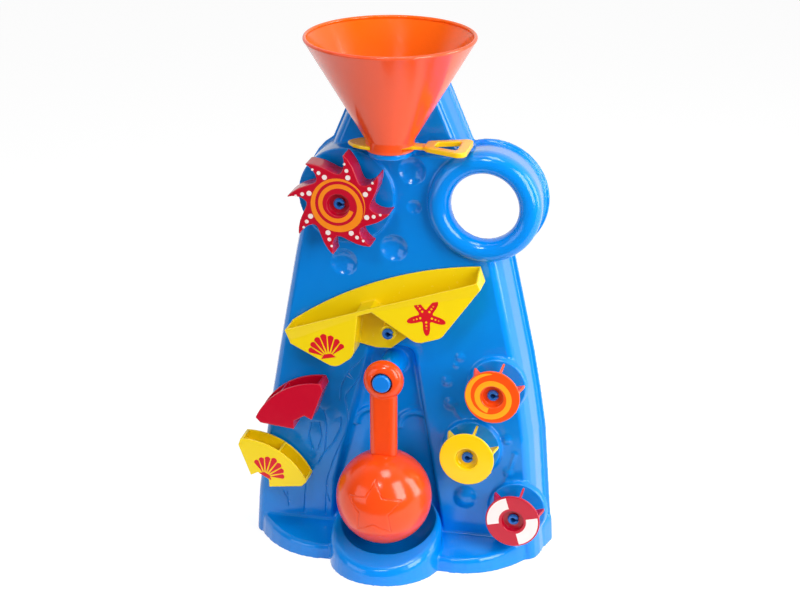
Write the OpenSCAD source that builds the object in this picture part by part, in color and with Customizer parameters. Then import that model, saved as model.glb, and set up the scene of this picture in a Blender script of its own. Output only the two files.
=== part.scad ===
// Sand wheel toy: an upright moulded panel with a funnel, sand wheels, tipping trays and a pendulum.
// Millimetres. X to the right, Z up from the floor, and the panel's face is the plane Y = 0.

/* [Panel] */
// Height of the ledge under the funnel
ledge_z = 386; // [385:1:400]
// Half the width of the panel at the floor
half_w = 142; // [140:1:156]
// Depth of the panel from its face to its open back
panel_d = 47; // [45:1:60]
// Wall thickness of the panel
wall = 3; // [2.4:0.1:3.4]
// How far the side walls lean out on their way back
flare = 13; // [10:1:15]
// Width of the flat lip round the open back
lip = 3.5; // [2:0.5:5]
// Height of the tower above the ledge
tower_h = 59; // [50:1:62]
// Half the width of the tower at the ledge
tower_half = 63.5; // [60:1:68]

/* [Hand ring] */
// Radius of the hole for a hand
ring_hole_r = 30.6; // [28:0.2:32]
// Radius of the round bar of the ring
ring_bar_r = 9.95; // [9:0.05:10.5]
// How far the ring's centre lies to the right of the middle
ring_x = 82.5; // [81:0.5:90]
// How far the ring's centre lies below the ledge
ring_drop = 45; // [44.5:0.5:50]

/* [Base] */
// Radius of the basin under the ball
basin_r = 52; // [50:0.5:55]
// How far the middle of the basin stands out from the face
basin_out = 29; // [27:0.5:33]
// Height of the basin's front lip
basin_lip_z = 14; // [12:0.5:16]
// Rise of the basin's rim for each millimetre towards the face
basin_slope = 0.383; // [0.3:0.005:0.42]
// How far the bays on both sides stand out from the face
bay_out = 39.3; // [36:0.5:44]
// Height of the bays where they meet the face
bay_z = 20; // [17:0.5:24]

/* [Funnel and gate] */
// Radius of the funnel's rim
funnel_r = 74; // [68:1:80]
// Height of the funnel's cone
funnel_h = 91.3; // [85:1:100]
// Radius of the funnel's neck
neck_r = 21.5; // [20.5:0.5:22.5]
// Height of the neck
neck_h = 9.5; // [9:0.5:12]
// Wall thickness of the funnel
funnel_wall = 2; // [1.6:0.1:2.4]
// How far the funnel's axis stands out from the face
funnel_out = 10; // [9.5:0.5:11]
// Radius of the outlet
outlet_r = 8.5; // [7:0.5:9]
// Length of the spade that closes the funnel
spade_l = 108; // [100:1:112]
// Width of the spade's blade
blade_w = 32; // [28:1:33]
// Thickness of the blade
blade_t = 3; // [2.4:0.2:3.4]

/* [Sun wheel] */
// Radius to the tips of the rays
sun_r = 46; // [42:0.5:46]
// Depth of the sun wheel
sun_d = 21; // [18:0.5:23]
// How far its axis lies to the left of the middle
sun_left = 41.9; // [41:0.1:44]
// How far its axis lies below the ledge
sun_drop = 43.6; // [43.6:0.2:48]

/* [Seesaw] */
// Half the length of the seesaw's rim
seesaw_half = 96; // [90:1:98]
// Width of the seesaw from front to back
seesaw_d = 24; // [20:0.5:24]
// How far its pin lies below the ledge
seesaw_drop = 164.2; // [160:0.5:164]
// Tilt at rest, right end up
seesaw_tilt = 18.6; // [12:0.2:19]

/* [Tipping trays] */
// Half the length of a tray
tray_half = 36.5; // [32:0.5:37]
// Width of a tray from front to back
tray_d = 23; // [20:0.5:25]
// Wall thickness of trays and wheels
thin = 2; // [1.6:0.1:2.2]

/* [Paddle wheels] */
// Radius of the front disc
disc_r = 24.9; // [22:0.1:25]
// Radius to the tips of the paddles
paddle_r = 27.4; // [25.5:0.1:27.6]
// Depth of a wheel
disc_d = 17; // [15:0.5:18]
// Number of paddles
paddles = 6; // [4:1:8]

/* [Pendulum] */
// Radius of the ball
ball_r = 43.5; // [40:0.5:44]
// Height of the ball's centre above the floor
ball_z = 69.9; // [69:0.5:74]
// Height of the peg that carries the arm
peg_z = 183.8; // [178:0.5:184]
// How far the pendulum hangs in front of the face
swing_out = 37.1; // [36.5:0.1:38]
// Radius of the eye at the top of the arm
eye_r = 18.35; // [17:0.25:18.5]
// Width of the arm
arm_w = 24; // [20:0.5:26]

/* [Pins] */
// Radius of the snap pins
pin_r = 4; // [3.4:0.1:4.4]
// Radius of the pendulum's peg
peg_r = 6; // [5:0.25:7]
// Running clearance round a pin
fit = 0.1; // [0.05:0.01:0.2]

/* [Hidden] */
// Overrun of every cut
eps = 1;
// Smoothness of large round forms, and of small ones
big = 96;
small = 48;
// Bevel on the ends of pins, and the step of a shoulder
bevel = 1;

// Panel: shares of the ledge's height and of the half width, up each side at the open back
left_shares = [[0, 1], [0.106, 0.982], [0.306, 0.905], [0.492, 0.817], [0.728, 0.701], [0.86, 0.628]];
right_shares = [[0, 1.004], [0.117, 0.979], [0.319, 0.94], [0.474, 0.87], [0.718, 0.729], [0.88, 0.62]];
side_stations_share = [0, 0.03, 0.106, 0.2, 0.306, 0.4, 0.492, 0.6, 0.728, 0.8, 0.86];
// Section of the side walls: share of the depth, then share of the flare that is left
skin_shares = [[0, 1.14], [0.013, 1.04], [0.05, 0.88], [0.12, 0.69], [0.35, 0.46], [1, lip / flare]];
// Depth of the lip, and how far the ledge slopes down to the front
lip_d = 4;
ledge_drop = 3;
// Top left corner round the sun wheel, the turret that stands out there, and where the ledge ends
corner_r = 46;
turret_r = 43.5;
turret_out = 3;
corner_left = 58;
corner_right = 70;
// Tower: where its face lies, how its sides lean in and out, how deep it reaches, and its top corners
tower_y = 14;
tower_lean = 0.42;
tower_flare = 11;
tower_foot = 16;
tower_round = 8;
cradle_gap = 1.5;
// Back of the hand ring: its radius and how far it lies to the left and down
ring_back_r = 53.2;
ring_back_in = 3.5;
ring_back_down = 5.7;
// How far the bar's centre stands out, how deep its inner lip goes, and how far that stays inside the wall
ring_rise = 2;
ring_lip_y = 4;
ring_step = 1;
// Ribs under the base
rib = 3;
rib_h = 6;

// Trough behind the pendulum: half widths and heights of its outline, and its depth
trough_d = 9;
trough_top_z = 201;
trough_mid_z = 62;
trough_low_z = 25;
trough_top_left = 23;
trough_top_right = 20;
trough_mid_left = 55.5;
trough_low_left = 57;
trough_low_right = 46;
trough_round = 9;
// Trough: share of its depth, then how far its edge lies outside the outline
trough_edge_shares = [[-0.12, 1], [0, 0.72], [0.1, 0.3], [0.3, 0], [0.85, -0.5], [1, -0.9]];
trough_edge = 4;

// Base: slope and rounding of the bays and the basin, and how far the bays widen at the floor
bay_slope = 0.167;
bay_round = 5;
bay_draft = 1;
bay_edge_shares = [[0, 1], [0.15, 0.45], [0.45, 0.12], [1, 0]];
basin_round = 6;
basin_edge_shares = [[0.12, 1], [0.3, 0.45], [0.6, 0.12], [1, 0]];
// Hollow in the basin: its rim, its depth and how far back its middle lies
scoop_rim_r = 44;
scoop_depth = 26;
scoop_back = 10;
// How the bays' fronts bend, as shares of the half width and of how far they stand out
left_bend_shares = [[0.972, 0], [0.69, 1.25]];
right_bend_shares = [[0.915, 0.2], [0.69, 1.22]];
bay_in = 51;

// Dimples in the face: share of the half width across, how far below the ledge, and radius
dimples = [[0.1204, 17.6, 12.5], [0.1338, 50.6, 6.7], [0.0063, 90.3, 12.5], [-0.3169, 107.3, 12.5]];
dimple_depth_share = 0.36;
// Bubbles and chute ribs on the face: shares of the half width across, heights and radii
bubbles = [[0.4345, 196.7, 4.5], [0.4085, 188.5, 3], [0.3514, 172.2, 5], [0.3789, 150.9, 6.3],
           [0.7394, 119.3, 5], [0.7563, 86.5, 5], [0.4775, 57.8, 10.7]];
bubble_rise_share = 0.4;
chutes = [[[0.3915, 152], [0.4225, 141], [0.5239, 128.1]], [[0.7993, 105.3], [0.7254, 71.9]]];
chute_r = 1.3;
chute_end_r = 1.6;
arch_x = 20;
arch_z = 118;
arch_r = 17;
arch_bar_r = 3.2;

// Where the turning pieces sit: across, up, and how far their backs stand out from the face; those at the
// sides keep their share of the half width
funnel_y = -funnel_out;
sun_at = [-sun_left, ledge_z - sun_drop, 10];
ring_at = [ring_x, ledge_z - ring_drop];
seesaw_at = [0, ledge_z - seesaw_drop, 2];
spiral_at = [0.681 * half_w, 172.8, 12];
yellow_wheel_at = [0.5225 * half_w, 109.9, 12];
ring_wheel_at = [0.826 * half_w, 52.6, 12];
red_at = [-0.6155 * half_w, 140.9, 3];
yellow_at = [-0.7923 * half_w, 79.7, 3];
red_tilt = 32.2;
yellow_tilt = -30.8;
wheels = [spiral_at, yellow_wheel_at, ring_wheel_at];
pinned = concat(wheels, [sun_at, seesaw_at, red_at, yellow_at]);
// Gap behind a turning piece, the raised seats of the wheels, the pin bosses and their sockets
boss_gap = 0.3;
seat_r = 26;
seat_out = 5;
seat_draft = 2;
boss_r = 8;
socket_d = 8;

// Funnel: its collar on the ledge, its floor and spigot, its rim and the play of the gate
collar_r = 19;
collar_h = 4.5;
collar_foot = 1;
floor_t = 2;
spigot_r = 11;
rim_bead_r = 1.7;
slot_gap = 0.4;
neck_z = ledge_z + collar_h;

// Spade: outline of the blade and shaft as shares of the length and of the blade's width
blade_shares = [[0, 0.06], [0.02, 0.3], [0.06, 0.62], [0.12, 0.86], [0.2, 1], [0.28, 0.98], [0.35, 0.84],
                [0.42, 0.62], [0.5, 0.42], [0.58, 0.36], [0.66, 0.38]];
tip_x = -37.5;
// Grip of the spade, narrower by a share where it meets the shaft, and the play under the blade
grip_l = 39;
grip_w = 43;
grip_t = 4.6;
grip_bar = 9;
grip_round = 7;
grip_root_share = 0.55;
blade_lift = 0.2;

// Sun wheel: along a ray from root to tip, share of the height, share of the half width, turn in degrees
ray_shares = [[0, 1, -15.5], [0.1, 0.78, -14], [0.3, 0.56, -11.5], [0.55, 0.38, -8],
              [0.8, 0.2, -3.8], [0.95, 0.1, -0.9], [1, 0.03, 0]];
rays = 8;
ray_root_r = 28.5;
ray_half = 10.2;
first_tip = 39;

// Pin, hub and well of every turning piece
well_r = 10;
well_d = 6;
hub_r = 7;
head_r = 5.2;
head_h = 3.2;
pin_bore_r = 2.3;
pin_slot = 2.2;
barb_r = 4.9;
barb_h = 3;

// Seesaw: inner end, outer end and its foot, and the middles of the two rounds in the bottom, of the left and
// the right pocket, as shares of half the length across and of the rim's height up
rim_up = 28;
pocket_shares = [[[-0.19, 1], [-0.93, 1], [-0.93, 0.49], [-0.557, -0.207], [-0.469, -0.107]],
                 [[-0.1, 1], [1, 1], [1, 0.75], [0.455, -0.096], [0.3125, -0.096]]];
pocket_round = 11.5;
// Back of the seesaw: its crown and where that is highest, as a share of half the length
crown = 16.7;
crown_share = 0.17;
// Plate between the pockets that carries the pin, as shares of its half width and of its depth
plate_low = 19.5;
plate_half = 30;
plate_shares = [[-1.18, -1.4], [-1.18, 0.35], [-0.73, 0.77], [-0.25, 1], [0.35, 0.64], [0.8, 0.4],
                [0.8, -1.4]];
// Rim strip that joins the pockets in front
strip_h = 4;

// Tipping tray: half of its outline below the rim, as shares of half the length
tray_shares = [[1, 0], [0.96, -0.18], [0.275, -0.715], [0.165, -0.535]];
tray_crown = 11;
tray_pivot_down = 10;

// Pendulum: its eye, its arm, how far the arm reaches into the ball's outline, and the peg's flat head
eye_d = 17.2;
arm_d = 13;
arm_root = 6;
counterbore_r = 9.6;
counterbore_d = 5.5;
peg_head_r = 8.25;
peg_head_rise = 2;
post_r = 12;
arm_flare = 3;

// Point on a cubic curve
function bend(p, t) = pow(1 - t, 3) * p[0] + 3 * t * pow(1 - t, 2) * p[1]
    + 3 * t * t * (1 - t) * p[2] + pow(t, 3) * p[3];

// Half width of one side of the panel at a height, less an inset
function side(shares, z, inset) = half_w * lookup(z / ledge_z, shares) - inset;

// Outline of the panel below the ledge, seen from the front, at one depth
function panel_outline(inset, low) = let (top = ledge_z - ledge_drop * inset / flare) concat(
    [for (s = side_stations_share) let (z = s == 0 ? low : s * ledge_z)
        [-side(left_shares, max(z, 0), inset), z]],
    [for (a = [168:-12:120]) let (r = corner_r - inset) [sun_at[0] + r * cos(a), sun_at[1] + r * sin(a)]],
    [[-corner_left + inset, top], [corner_right - inset, top]],
    [for (i = [len(side_stations_share) - 1:-1:0])
        let (s = side_stations_share[i], z = s == 0 ? low : s * ledge_z)
        [side(right_shares, max(z, 0), inset), z]]);

// Outline of the tower, seen from the front, at one depth
function tower_side(z, inset) = tower_half - tower_lean * (z - ledge_z) - inset;
function tower_outline(inset, drop) = let (top = ledge_z + tower_h - drop, low = ledge_z - tower_foot)
    concat(
    [[-tower_side(low, inset), low]],
    [for (a = [180:-30:90]) let (c = top - tower_round)
        [-(tower_side(c, inset) - tower_round) + tower_round * cos(a), c + tower_round * sin(a)]],
    [for (a = [90:-30:0]) let (c = top - tower_round)
        [tower_side(c, inset) - tower_round + tower_round * cos(a), c + tower_round * sin(a)]],
    [[tower_side(low, inset), low]]);

// Outline of the bays, seen from above, drawn in towards the middle of the back
function bay_half_curve(bends, out, sign) = [for (i = [0:10]) let (t = i / 10,
    p = bend([[half_w, panel_d - eps], [bends[0][0] * half_w, bends[0][1] * -out],
              [bends[1][0] * half_w, bends[1][1] * -out], [bay_in, -out]], t)) [sign * p[0], p[1]]];
function drawn_in(p, inset) = let (d = [p[0], p[1] - panel_d]) p - inset * d / norm(d);
function bay_outline(inset) = let (
    left = bay_half_curve(left_bend_shares, bay_out, -1),
    right = bay_half_curve(right_bend_shares, bay_out, 1))
    [for (p = concat(left, [for (i = [10:-1:0]) right[i]])) drawn_in(p, inset)];
function bay_top(y) = bay_z + bay_slope * y;

// Height of the basin's rim at a depth
function basin_top(y) = basin_lip_z + basin_slope * (y + basin_out + basin_r);

// Solid skinned over rings of equally many points; each end fans out from its middle
module loft(rings) {
    n = len(rings[0]);
    m = len(rings);
    middles = [for (r = [rings[0], rings[m - 1]]) [for (p = r) 1 / n] * r];
    polyhedron(points = concat([for (r = rings) for (p = r) p], middles), faces = concat(
        [for (j = [0:n - 1]) [m * n, j, (j + 1) % n]],
        [for (j = [0:n - 1]) [m * n + 1, (m - 1) * n + (j + 1) % n, (m - 1) * n + j]],
        [for (i = [0:m - 2]) for (j = [0:n - 1]) let (k = (j + 1) % n)
            [i * n + j, (i + 1) * n + j, (i + 1) * n + k]],
        [for (i = [0:m - 2]) for (j = [0:n - 1]) let (k = (j + 1) % n)
            [i * n + j, (i + 1) * n + k, i * n + k]]));
}

// Places children on an axis that comes out of the face; their Z points at the viewer
module out_of_face(at, out = 0) {
    translate([at[0], -out, at[1]]) rotate([90, 0, 0]) children();
}

// A solid disc that stands out of the face from one distance to another
module face_disc(at, r, from, to) {
    out_of_face(at, from) cylinder(r = r, h = to - from, $fn = big);
}

// Rings of a form that leans out from its face and ends in the flat lip round the open back
function lean_rings(from, lean, t) = let (to = panel_d - lip_d) concat(
    [for (s = skin_shares) [from + t + s[0] * (to - from - t), s[1] * lean + t]],
    t > 0 ? [[panel_d + eps, skin_shares[len(skin_shares) - 1][1] * lean + t]]
        : [[to + lip_d / 8, 0], [panel_d, 0]]);

// Main body of the panel; t is zero for the outside and the wall for the inside
module body_form(t) {
    low = t > 0 ? -eps : 0;
    loft([for (r = lean_rings(0, flare, t)) [for (p = panel_outline(r[1], low)) [p[0], r[0], p[1]]]]);
    out_of_face(sun_at, turret_out - t) mirror([0, 0, 1])
        cylinder(r = turret_r - t, h = panel_d - lip_d + turret_out + (t > 0 ? lip_d : -t - eps), $fn = big);
}

// Tower that the funnel leans against
module tower_form(t) {
    loft([for (r = lean_rings(tower_y, tower_flare, t))
        [for (p = tower_outline(r[1], t + ledge_drop * r[1] / tower_flare)) [p[0], r[0], p[1]]]]);
}

// Hand ring: a round bar in front, and a wall that leans back to the lip
module ring_form(t) {
    mid_r = ring_hole_r + ring_bar_r;
    back_at = [ring_at[0] - ring_back_in, ring_at[1] - ring_back_down];
    out_of_face(ring_at) rotate_extrude($fn = big) {
        translate([mid_r, ring_rise]) circle(r = ring_bar_r - t, $fn = small);
        translate([ring_hole_r + t, -ring_lip_y])
            square([2 * (ring_bar_r - t) - ring_step, ring_lip_y + ring_rise]);
    }
    hull() {
        face_disc(ring_at, mid_r + ring_bar_r - t, -t - eps, -t);
        face_disc(back_at, ring_back_r - lip - t, -panel_d, eps - panel_d);
    }
    if (t == 0) face_disc(back_at, ring_back_r, -panel_d, lip_d - panel_d);
    else face_disc(back_at, ring_back_r - lip - t, -panel_d - eps, eps - panel_d);
}

// Bays to the left and right of the basin
module bays_form(t) {
    low = t > 0 ? -eps : 0;
    loft(concat([[for (p = bay_outline(t - bay_draft)) [p[0], p[1], low]]],
        [for (s = bay_edge_shares) [for (p = bay_outline(t + s[0] * bay_round))
            [p[0], p[1], bay_top(p[1]) - t - s[1] * bay_round]]]));
}

// Round basin under the ball
module basin_form(t) {
    low = t > 0 ? -eps : 0;
    loft(concat([[for (a = [0:7.5:352.5]) let (r = basin_r - t) [r * cos(a), -basin_out + r * sin(a), low]]],
        [for (s = basin_edge_shares) [for (a = [0:7.5:352.5])
            let (r = basin_r - t - s[0] * basin_round, y = -basin_out + r * sin(a))
            [r * cos(a), y, basin_top(y) - t - s[1] * basin_round]]]));
}

// Round hollow that the ball swings over; it ends at the floor of the trough
module scoop(t) {
    tilt = atan(basin_slope);
    rise = (scoop_rim_r * scoop_rim_r - scoop_depth * scoop_depth) / (2 * scoop_depth);
    mid_y = scoop_back - basin_out;
    r = rise + scoop_depth + t;
    intersection() {
        translate([0, mid_y - rise * sin(tilt), basin_top(mid_y) + rise * cos(tilt)])
            sphere(r = r, $fn = big);
        translate([-r, trough_d + t - 4 * r, 0]) cube([2 * r, 4 * r, 4 * r]);
    }
}

// Trough in the face behind the pendulum
function trough_outline(grow) = let (r = trough_round, top = trough_top_z + grow,
    l = trough_top_left + grow, q = trough_top_right + grow) concat(
    [[-trough_low_left - grow, trough_low_z - grow], [-trough_mid_left - grow, trough_mid_z]],
    [for (a = [165:-25:90]) [-l + r + r * cos(a), top - r + r * sin(a)]],
    [for (a = [90:-25:15]) [q - r + r * cos(a), top - r + r * sin(a)]],
    [[trough_low_right + grow, trough_low_z - grow]]);
module trough(t) {
    loft([for (s = trough_edge_shares) [for (p = trough_outline(s[1] * trough_edge + t))
        [p[0], s[0] * trough_d + (s[0] > 0 ? t * s[0] : 0), p[1]]]]);
}

// Hollow in the tower that the funnel nests in
module cradle(t) {
    slope = (funnel_r - neck_r) / funnel_h;
    r = neck_r + cradle_gap + t;
    translate([0, funnel_y, neck_z + neck_h - t])
        cylinder(r1 = r - slope * t, r2 = r + slope * funnel_h, h = funnel_h + t, $fn = big);
}

// Dishes pressed into the face
module dimple_cuts(t) {
    for (d = dimples) {
        depth = dimple_depth_share * d[2];
        r = (d[2] * d[2] + depth * depth) / (2 * depth);
        translate([d[0] * half_w, depth - r, ledge_z - d[1]]) sphere(r = r + t, $fn = small);
    }
}

// Bubbles, chute ribs and the arch in relief
module relief() {
    for (b = bubbles) {
        rise = bubble_rise_share * b[2];
        r = (b[2] * b[2] + rise * rise) / (2 * rise);
        translate([b[0] * half_w, r - rise, b[1]]) intersection() {
            sphere(r = r, $fn = small);
            rotate([90, 0, 0]) translate([0, 0, r - rise - wall / 2])
                cylinder(r = b[2] + rise, h = rise + wall, $fn = small);
        }
    }
    for (c = chutes) {
        way = [for (p = c) [p[0] * half_w, p[1]]];
        for (p = way) translate([p[0], 0, p[1]]) sphere(r = chute_end_r, $fn = small / 2);
        for (i = [1:len(way) - 1]) let (run = way[i] - way[i - 1])
            translate([way[i - 1][0], 0, way[i - 1][1]]) rotate([0, atan2(run[0], run[1]), 0])
                cylinder(r = chute_r, h = norm(run), $fn = small / 2);
    }
    for (side = [-1, 1]) translate([side * arch_x, trough_d, arch_z]) rotate([90, 0, 0])
        rotate_extrude(angle = 180, $fn = small) translate([arch_r, 0])
            circle(r = arch_bar_r, $fn = small / 2);
}

// Raised seats and pin bosses on the face
module bosses() {
    for (w = wheels) out_of_face(w, -wall / 2)
        cylinder(r1 = seat_r + seat_draft, r2 = seat_r, h = seat_out + wall / 2, $fn = big);
    for (p = pinned) face_disc(p, boss_r, -wall / 2, p[2] - boss_gap);
    face_disc([0, peg_z], post_r, -trough_d - wall / 2, swing_out - eye_d / 2 - boss_gap);
}
module sockets() {
    for (p = pinned) face_disc(p, boss_r, -socket_d, 0);
    face_disc([0, peg_z], post_r, -trough_d - socket_d, 0);
}
module pin_holes() {
    for (p = pinned) face_disc(p, pin_r + fit, -socket_d - eps, p[2]);
    face_disc([0, peg_z], peg_r + fit, -trough_d - socket_d - eps, swing_out);
}

// Collar on the ledge that the funnel's neck stands on
module collar() {
    translate([0, funnel_y, ledge_z - collar_foot])
        cylinder(r = collar_r, h = collar_h + collar_foot, $fn = big);
    translate([-collar_r, funnel_y, ledge_z - collar_foot])
        cube([2 * collar_r, tower_y + funnel_out + eps, collar_h + collar_foot]);
    translate([-collar_r, wall / 2, ledge_z - 2 * ledge_drop])
        cube([2 * collar_r, tower_y - wall / 2, collar_h + 2 * ledge_drop]);
}

// Outer skin of the panel, with everything that stands on it
module outside() {
    difference() {
        union() {
            body_form(0);
            tower_form(0);
            ring_form(0);
        }
        trough(0);
        dimple_cuts(0);
        cradle(0);
    }
    difference() {
        union() {
            bays_form(0);
            basin_form(0);
        }
        scoop(0);
    }
    relief();
    bosses();
    collar();
}

// Hollow of the panel, open at the back and underneath
module inside() {
    difference() {
        union() {
            difference() {
                union() {
                    body_form(wall);
                    tower_form(wall);
                    ring_form(wall);
                }
                trough(wall);
                dimple_cuts(wall);
                cradle(wall);
            }
            bays_form(wall);
            basin_form(wall);
        }
        scoop(wall);
        sockets();
        face_disc(ring_at, ring_hole_r + wall, -ring_lip_y, 2 * ring_bar_r);
    }
}

// Low stiffening ribs that the panel stands on, along and across
module foot_ribs() {
    translate([-rib / 2, wall / 2 - basin_out - basin_r, 0]) cube([rib, basin_out + basin_r + wall, rib_h]);
    reach = half_w - skin_shares[0][1] * flare - wall / 2;
    translate([-reach, -rib / 2, 0]) cube([2 * reach, rib, rib_h]);
}

module panel() {
    color("dodgerblue") difference() {
        union() {
            difference() {
                outside();
                inside();
            }
            foot_ribs();
        }
        scoop(0);
        pin_holes();
        face_disc(ring_at, ring_hole_r, -panel_d - eps, 3 * ring_bar_r);
        translate([0, funnel_y, ledge_z - 2 * collar_foot])
            cylinder(r = spigot_r + fit, h = collar_h + 3 * collar_foot, $fn = big);
    }
}

// Funnel with its neck, floor, outlet and the slots for the spade
module funnel() {
    top = neck_h + funnel_h;
    color("orangered") translate([0, funnel_y, neck_z]) difference() {
        rotate_extrude($fn = big) {
            polygon([[outlet_r, -collar_h], [spigot_r, -collar_h], [spigot_r, 0], [neck_r, 0],
                     [neck_r, neck_h], [funnel_r, top], [funnel_r - funnel_wall, top],
                     [neck_r - funnel_wall, neck_h],
                     [neck_r - funnel_wall, floor_t], [outlet_r, floor_t]]);
            translate([funnel_r - funnel_wall / 2, top - rim_bead_r]) circle(r = rim_bead_r, $fn = small);
        }
        translate([-neck_r - eps, -blade_w / 2 - slot_gap, floor_t])
            cube([2 * (neck_r + eps), blade_w + 2 * slot_gap, blade_lift + blade_t + slot_gap]);
    }
}

// Outline of one long side of the blade and shaft
function blade_side(sign) = [for (s = blade_shares) [tip_x + s[0] * spade_l, sign * s[1] * blade_w / 2]];

// Spade that slides through the neck as the gate
module spade() {
    grip_x = tip_x + spade_l - grip_l;
    color("gold") translate([0, funnel_y, neck_z + floor_t + blade_lift]) {
        linear_extrude(blade_t)
            polygon(concat(blade_side(-1), [for (i = [len(blade_shares) - 1:-1:0]) blade_side(1)[i]]));
        translate([grip_x, 0, 0]) linear_extrude(grip_t) difference() {
            grip_outline(0);
            grip_outline(grip_bar);
        }
    }
}
module grip_outline(inset) {
    r = grip_round - inset / 2;
    offset(r = r, $fn = small) polygon([[r + inset, -grip_w / 2 * grip_root_share + inset + r - inset / 2],
        [grip_l - r - inset, -grip_w / 2 + r + inset], [grip_l - r - inset, grip_w / 2 - r - inset],
        [r + inset, grip_w / 2 * grip_root_share - inset - r + inset / 2]]);
}

// Star outline of the sun wheel
function ray_point(s, sign, tip) = let (r = ray_root_r + s[0] * (sun_r - ray_root_r),
    a = tip + s[2] + sign * atan(s[1] * ray_half / r)) [r * cos(a), r * sin(a)];
function ray(tip) = concat([for (s = ray_shares) ray_point(s, -1, tip)],
    [for (i = [len(ray_shares) - 1:-1:0]) ray_point(ray_shares[i], 1, tip)]);
module star() {
    polygon([for (k = [0:rays - 1]) each ray(first_tip + k * 360 / rays)]);
}

// Hub with its pin bore and the sunk well for the pin's head
module hub(d) {
    cylinder(r = hub_r, h = d - well_d, $fn = small);
    translate([0, 0, d - well_d - thin]) cylinder(r = well_r + thin, h = well_d + thin, $fn = big);
}
module hub_cut(d) {
    translate([0, 0, -eps]) cylinder(r = pin_r + fit, h = d, $fn = small);
    translate([0, 0, d - well_d]) cylinder(r = well_r, h = well_d + eps, $fn = big);
}

module sun_wheel() {
    color("crimson") out_of_face(sun_at, sun_at[2]) difference() {
        union() {
            difference() {
                linear_extrude(sun_d) star();
                translate([0, 0, -eps]) linear_extrude(sun_d - thin + eps) offset(delta = -thin) star();
            }
            hub(sun_d);
        }
        hub_cut(sun_d);
    }
}

// Paddle wheel: a front disc, paddles behind it and a hub
module paddle_wheel(at, turn) {
    out_of_face(at, at[2]) difference() {
        union() {
            translate([0, 0, disc_d - thin]) cylinder(r = disc_r, h = thin, $fn = big);
            hub(disc_d);
            for (k = [0:paddles - 1]) rotate(turn + k * 360 / paddles)
                translate([hub_r - thin, -thin / 2, 0])
                    cube([paddle_r - hub_r + thin, thin, disc_d - thin / 2]);
        }
        hub_cut(disc_d);
    }
}
module spiral_wheel() { color("orangered") paddle_wheel(spiral_at, 14); }
module yellow_wheel() { color("gold") paddle_wheel(yellow_wheel_at, 16); }
module ring_wheel() { color("crimson") paddle_wheel(ring_wheel_at, 15); }

// One pocket of the seesaw, seen from the front and drawn on above its rim
function pocket_point(share, up = 0) = [share[0] * seesaw_half, share[1] * rim_up + up];
module pocket(p) {
    hull() {
        for (i = [3, 4]) translate(pocket_point(p[i])) circle(r = pocket_round, $fn = small);
        polygon([pocket_point(p[0]), pocket_point(p[0], 3 * thin), pocket_point(p[1], 3 * thin),
                 pocket_point(p[2])]);
    }
}
module below_rim() {
    translate([-2 * seesaw_half, rim_up - 4 * seesaw_half]) square([4 * seesaw_half, 4 * seesaw_half]);
}
// Crowned back of the seesaw with the plate between the pockets
crown_r = let (run = (crown_share - pocket_shares[0][1][0]) * seesaw_half)
    (run * run + crown * crown) / (2 * crown);
module seesaw_back() {
    left = pocket_shares[0][1][0] * seesaw_half;
    intersection() {
        translate([crown_share * seesaw_half, rim_up + crown - crown_r]) circle(r = crown_r, $fn = 4 * big);
        translate([left, rim_up - thin]) square([seesaw_half - left, crown + 2 * thin]);
    }
    polygon([for (s = plate_shares) [s[0] * plate_half, -s[1] * plate_low]]);
}
// Slope on the right end wall, from the front rim up to the crowned back
module end_slope() {
    reach = (1 - crown_share) * seesaw_half;
    top = rim_up + crown - crown_r + sqrt(crown_r * crown_r - reach * reach);
    translate([seesaw_half, 0, 0]) rotate([0, -90, 0]) linear_extrude(thin)
        polygon([[0, rim_up - thin], [0, top], [seesaw_d, rim_up], [seesaw_d, rim_up - thin]]);
}
// Roof between the pockets, and the rim strip in front of it
module seesaw_bridge() {
    from = pocket_shares[0][0][0] * seesaw_half - thin;
    to = pocket_shares[1][0][0] * seesaw_half + thin;
    translate([from, rim_up - thin, 0]) cube([to - from, thin, seesaw_d]);
    translate([from, rim_up - strip_h, seesaw_d - thin]) cube([to - from, strip_h, thin]);
}
module seesaw() {
    hub_d = seesaw_d - well_d;
    color("gold") out_of_face(seesaw_at, seesaw_at[2]) rotate(seesaw_tilt) difference() {
        union() {
            linear_extrude(thin) seesaw_back();
            for (p = pocket_shares) difference() {
                linear_extrude(seesaw_d) intersection() {
                    pocket(p);
                    below_rim();
                }
                translate([0, 0, thin]) linear_extrude(seesaw_d - 2 * thin) offset(delta = -thin) pocket(p);
            }
            seesaw_bridge();
            end_slope();
            cylinder(r = hub_r, h = hub_d, $fn = small);
        }
        translate([0, 0, -eps]) cylinder(r = pin_r + fit, h = seesaw_d, $fn = small);
    }
}

// Tipping tray, seen from the front, about the middle of its rim
module tray_outline(crowned) {
    r = (tray_half * tray_half + tray_crown * tray_crown) / (2 * tray_crown);
    side = tray_shares * tray_half;
    polygon(concat(side, [for (i = [len(side) - 1:-1:0]) [-side[i][0], side[i][1]]]));
    if (crowned) intersection() {
        translate([0, tray_crown - r]) circle(r = r, $fn = 2 * big);
        translate([-tray_half, -thin / 4]) square([2 * tray_half, 2 * tray_crown]);
    }
}
module tipper(at, tilt) {
    out_of_face(at, at[2]) rotate(tilt) difference() {
        union() {
            difference() {
                translate([0, tray_pivot_down]) linear_extrude(tray_d) tray_outline(true);
                translate([0, tray_pivot_down, thin]) linear_extrude(tray_d - 2 * thin) difference() {
                    union() {
                        offset(delta = -thin) tray_outline(true);
                        translate([0, thin]) offset(delta = -thin) tray_outline(true);
                        translate([0, 2 * thin]) offset(delta = -thin) tray_outline(true);
                    }
                    square([thin, 4 * tray_half], center = true);
                }
            }
            cylinder(r = hub_r, h = tray_d - thin, $fn = small);
        }
        translate([0, 0, -eps]) cylinder(r = pin_r + fit, h = tray_d - 2 * thin + eps, $fn = small);
    }
}
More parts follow.
